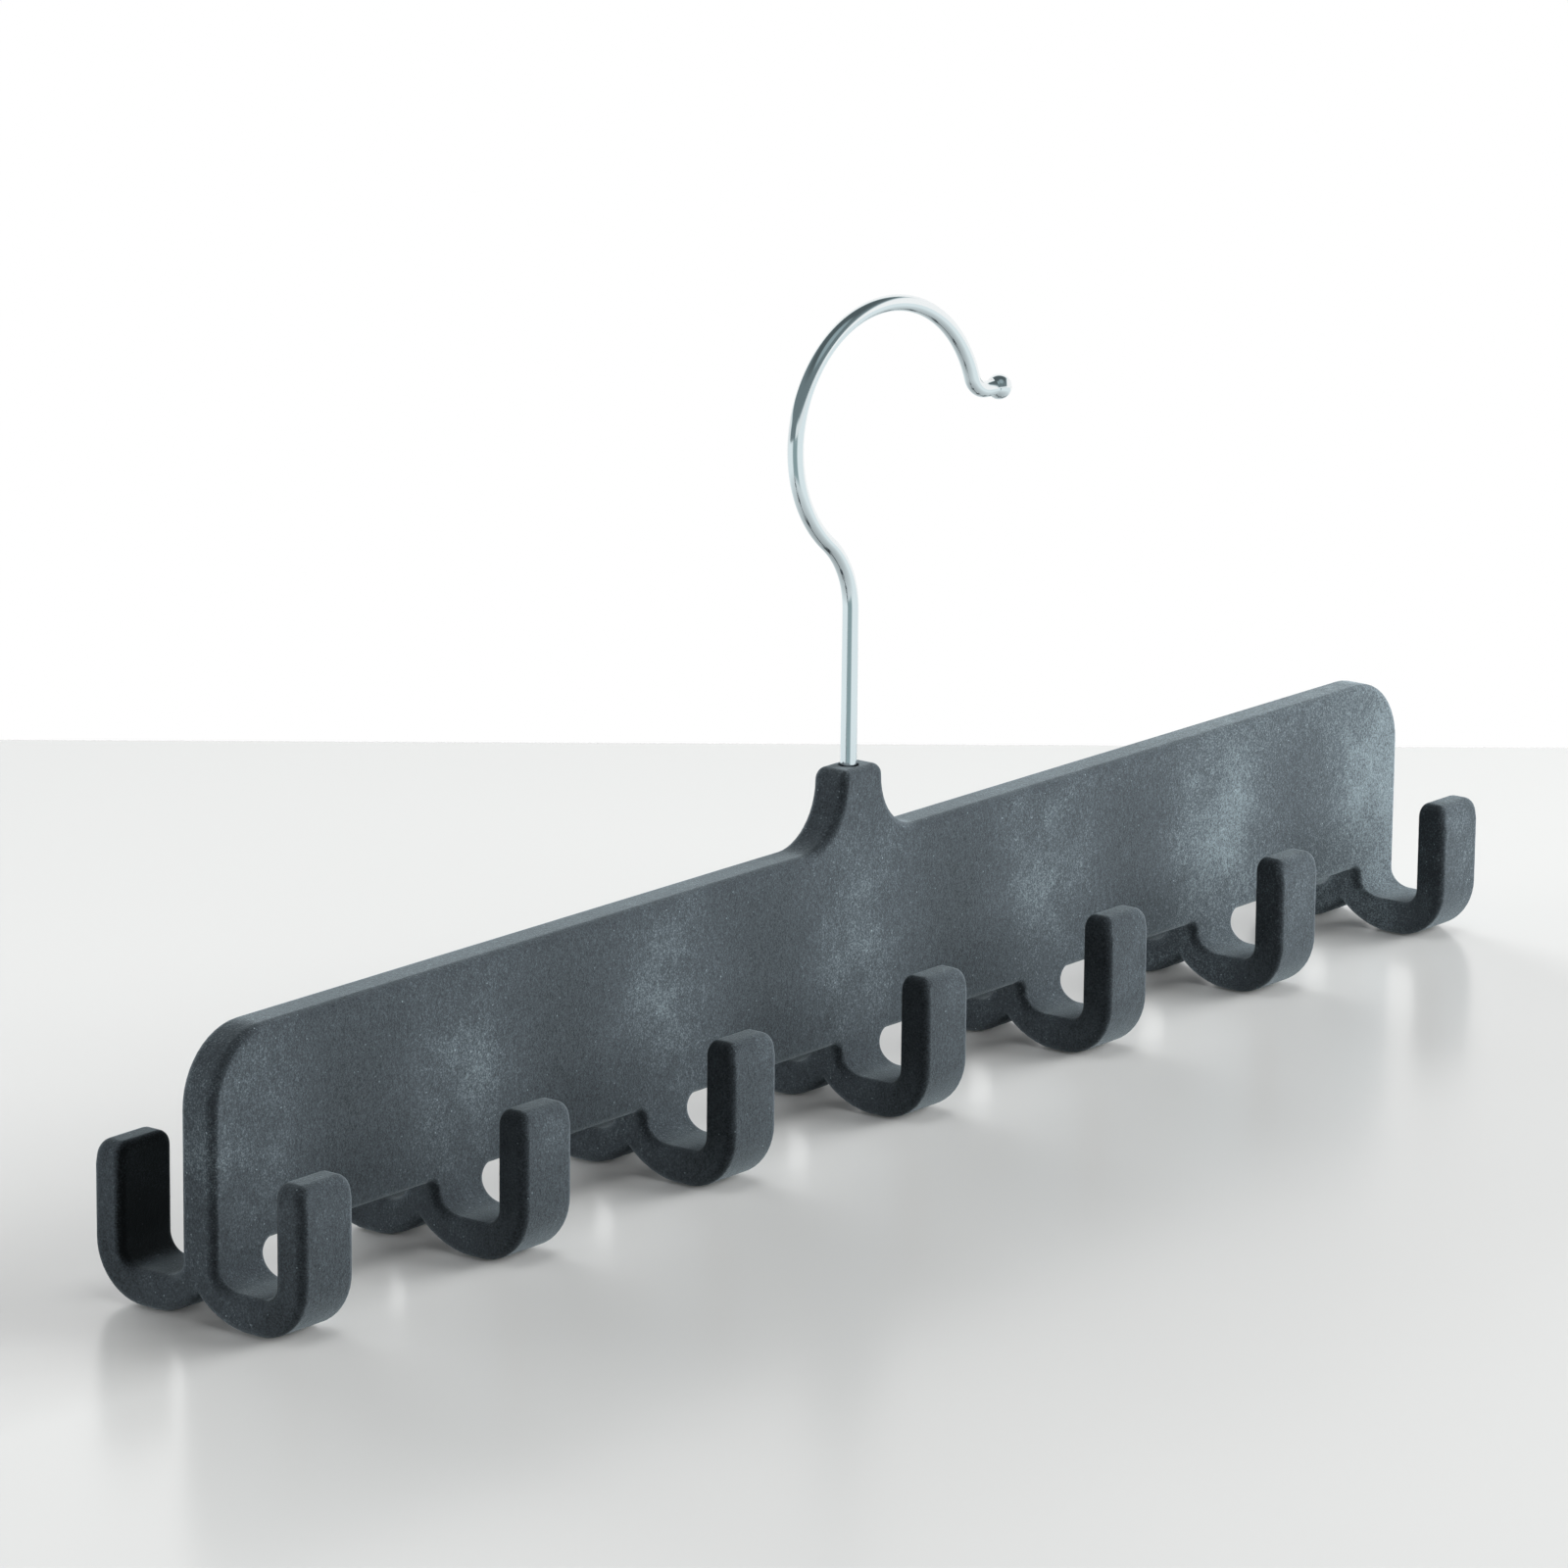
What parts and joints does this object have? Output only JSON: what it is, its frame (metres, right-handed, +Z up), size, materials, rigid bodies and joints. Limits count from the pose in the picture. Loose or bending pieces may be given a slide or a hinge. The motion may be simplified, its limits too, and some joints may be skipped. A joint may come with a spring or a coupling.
{
  "type": "belt hanger",
  "caption": "Flocked bar with open hooks along both sides, hung by a turning wire hook with a ball end.",
  "frame": {"origin": "on the surface that the hooks stand on, under the middle of the bar", "axes": "+X along the bar, towards the side where the loop's ball end points; -Y is the front; +Z up"},
  "size_m": [0.374, 0.05, 0.1579],
  "materials": {
    "flocked_plastic": "short slate-grey flock over a moulded plastic core",
    "plated_steel": "bright plated",
    "spring_steel": "plain"
  },
  "bodies": {
    "bar": {"hanger_body": "flocked_plastic"},
    "hook": {"swivel_hook": "plated_steel", "retaining_ring": "spring_steel"}
  },
  "joints": [
    {"name": "hook_swivel", "type": "hinge", "parent": "bar", "child": "hook", "pos_m": [0, 0, 0.067], "axis": [0, 0, 1], "continuous": true}
  ]
}
